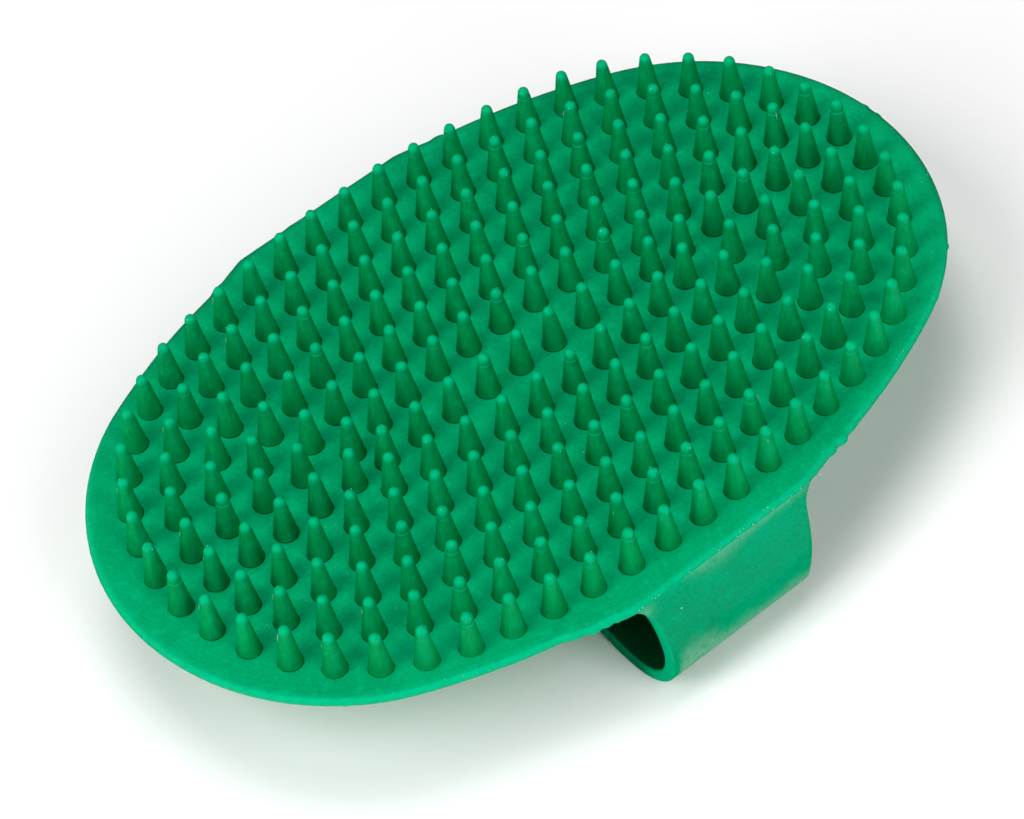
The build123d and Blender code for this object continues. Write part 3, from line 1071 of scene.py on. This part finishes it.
def dust_piece():
    """Pale specks of dust, as one piece."""
    rng = random.Random(5)
    points, faces = [], []
    outline = oval_samples(PAD_HALF_LENGTH, PAD_HALF_WIDTH, PAD_END_RADIUS, DUST_SPOTS)
    rim_dust(points, faces, outline, rng)
    face_dust(points, faces, outline, rng)
    strap_dust(points, faces, rng)
    tip_dust(points, faces, rng)
    make_piece("dust_specks", points, faces, DUST, "comb")


BLADE_ROWS = 6
BLADE_BEARING = 147         # the side of the teeth that most blades are on


def blade_piece():
    """Thin pale blades of flash on the sides of some of the outer teeth."""
    rng = random.Random(21)
    points, faces = [], []
    for x, y in ring_places(0) + ring_places(1):
        facing_end = x < -25 and y > -30        # the left end has most of them
        if rng.random() < (0.55 if facing_end else 0.12):
            if facing_end:
                bearing = BLADE_BEARING + rng.uniform(-22, 22)
            else:
                bearing = rng.uniform(0, 360)
            low = rng.uniform(4.8, 6.6)
            add_blade(points, faces, (x, y), bearing, low, low + rng.uniform(0.7, 1.9), rng)
    make_piece("tooth_flash", points, faces, FLASH, "comb")


def add_blade(points, faces, tooth, bearing, low, high, rng):
    """One blade: a three-sided sliver up the tooth's side, pointed at both ends."""
    start = len(points)
    ground = PAD_TOP + pad_height(*tooth)
    for i in range(BLADE_ROWS):
        height = low + (high - low) * i / (BLADE_ROWS - 1)
        swell = sin(pi * (i + 0.5) / BLADE_ROWS)
        ridge = rng.uniform(0.04, 0.10) * swell
        for turn, reach in ((-5.0, -0.06), (0.0, ridge), (5.0, -0.06)):
            spot = Vector(tooth) + unit(bearing + turn * swell) * (cone_radius(height) + reach)
            points.append((spot.x, spot.y, ground + height))
    faces += loft(BLADE_ROWS, 3, start)
    faces.append((start, start + 2, start + 1))
    last = len(points) - 3
    faces.append((last, last + 1, last + 2))


def build_object():
    pad_piece()
    for ring in range(RING_COUNT):
        teeth_piece(f"teeth_ring_{ring + 1}", ring_places(ring), 100 + ring)
    teeth_piece("teeth_centre_row", row_places(), 200)
    strap_pieces()
    studs_piece()
    dust_piece()
    blade_piece()


# --- studio --------------------------------------------------------------------------------
# (radius, height) in metres of the sweep: a level floor that curls up far away
SWEEP = [
    (0.3, 0.0), (1.0, 0.0), (3.0, 0.0), (7.0, 0.0), (7.5, 0.03), (7.9, 0.15), (8.05, 0.4), (8.1, 0.8),
]
SWEEP_SIDES = 96
GLOW_START = 0.22       # metres from the middle
GLOW_FULL = 1.3
GLOW = 0.95
WORLD_LIGHT = 0.06
# (name, bearing from +Y towards +X, elevation, width, height in metres, power in watts)
SOFTBOXES = [
    ("left_softbox", 270.0, 42.0, 0.60, 0.90, 10.3),
    ("right_softbox", 180.0, 38.0, 0.60, 0.95, 7.6),
    ("top_softbox", 0.0, 85.0, 0.60, 0.60, 6.4),
]
SOFTBOX_DISTANCE = 1.2


def floor_material():
    """Pale matt floor. Beyond the reach of the softboxes it glows, so that it stays as pale."""
    n = Nodes("studio_floor")
    cloud = n.span(n.noise(6.0), 0.3, 0.7, 0.0, 1.0)
    n.link(n.mix(cloud, (0.93, 0.93, 0.93), (0.95, 0.95, 0.95)), n.shader.inputs["Base Color"])
    n.shader.inputs["Roughness"].default_value = 0.9
    n.shader.inputs["Specular IOR Level"].default_value = 0.1
    n.shader.inputs["Emission Color"].default_value = (1.0, 1.0, 1.0, 1.0)
    away = n.add("ShaderNodeVectorMath", operation="LENGTH")
    n.link(n.place, away.inputs[0])
    glow = n.span(away.outputs["Value"], GLOW_START, GLOW_FULL, 0.0, GLOW, "SMOOTHSTEP")
    n.link(glow, n.shader.inputs["Emission Strength"])
    n.material.cycles.emission_sampling = "NONE"     # it isn't a lamp, so it adds no noise
    return n.material


def floor_piece():
    """A level floor that sweeps up far behind the object, whichever way it is seen."""
    points, count = [(0.0, 0.0, 0.0)], SWEEP_SIDES
    for radius, height in SWEEP:
        for i in range(count):
            angle = 2 * pi * i / count
            points.append((radius * cos(angle), radius * sin(angle), height))
    faces = [(0, 1 + i, 1 + (i + 1) % count) for i in range(count)]
    faces += turned_over(loft(len(SWEEP), count, 1))
    mesh = bpy.data.meshes.new("studio_floor")
    mesh.from_pydata(points, [], faces)
    mesh.shade_smooth()
    mesh.materials.append(floor_material())
    floor = bpy.data.objects.new("studio_floor", mesh)
    bpy.context.scene.collection.objects.link(floor)


def studio():
    floor_piece()
    world = bpy.data.worlds.new("studio_world")
    world.use_nodes = True
    background = world.node_tree.nodes["Background"]
    background.inputs["Color"].default_value = (1.0, 1.0, 1.0, 1.0)
    background.inputs["Strength"].default_value = WORLD_LIGHT
    bpy.context.scene.world = world
    for box in SOFTBOXES:
        softbox(*box)


def softbox(name, bearing, elevation, wide, tall, power):
    """A rectangular lamp that faces the pad."""
    lamp = bpy.data.lights.new(name, "AREA")
    lamp.shape = "RECTANGLE"
    lamp.size, lamp.size_y = wide, tall
    lamp.energy = power
    light = bpy.data.objects.new(name, lamp)
    turn, rise = radians(bearing), radians(elevation)
    away = Vector((sin(turn) * cos(rise), cos(turn) * cos(rise), sin(rise)))
    light.location = Vector((0.0, 0.0, PAD_TOP * MM)) + away * SOFTBOX_DISTANCE
    light.rotation_euler = (-away).to_track_quat("-Z", "Y").to_euler()
    bpy.context.scene.collection.objects.link(light)


CAMERA_HEADING = 33.15      # degrees from +Y towards +X
CAMERA_DIP = 49.33          # degrees below the horizon
CAMERA_ROLL = 9.31
CAMERA_DISTANCE = 0.7964    # metres
CAMERA_TARGET = (-7.42 * MM, -6.25 * MM, PAD_TOP * MM)
CAMERA_LENS = 165.32


def camera():
    """Looks down at the pad from the front left, with the horizon a little tilted."""
    heading, dip, roll = radians(CAMERA_HEADING), radians(CAMERA_DIP), radians(CAMERA_ROLL)
    ahead = Vector((sin(heading) * cos(dip), cos(heading) * cos(dip), -sin(dip)))
    level = ahead.cross(Vector((0, 0, 1))).normalized()
    above = level.cross(ahead)
    right = level * cos(roll) - above * sin(roll)
    up = above * cos(roll) + level * sin(roll)
    data = bpy.data.cameras.new("photo_camera")
    data.sensor_width = 36.0
    data.lens = CAMERA_LENS
    data.clip_start = 0.01
    view = bpy.data.objects.new("photo_camera", data)
    turn = Matrix((right, up, -ahead)).transposed()
    place = Vector(CAMERA_TARGET) - ahead * CAMERA_DISTANCE
    view.matrix_world = Matrix.Translation(place) @ turn.to_4x4()
    bpy.context.scene.collection.objects.link(view)
    bpy.context.scene.camera = view


bpy.context.scene.view_settings.view_transform = "Standard"
build_object()
studio()
camera()
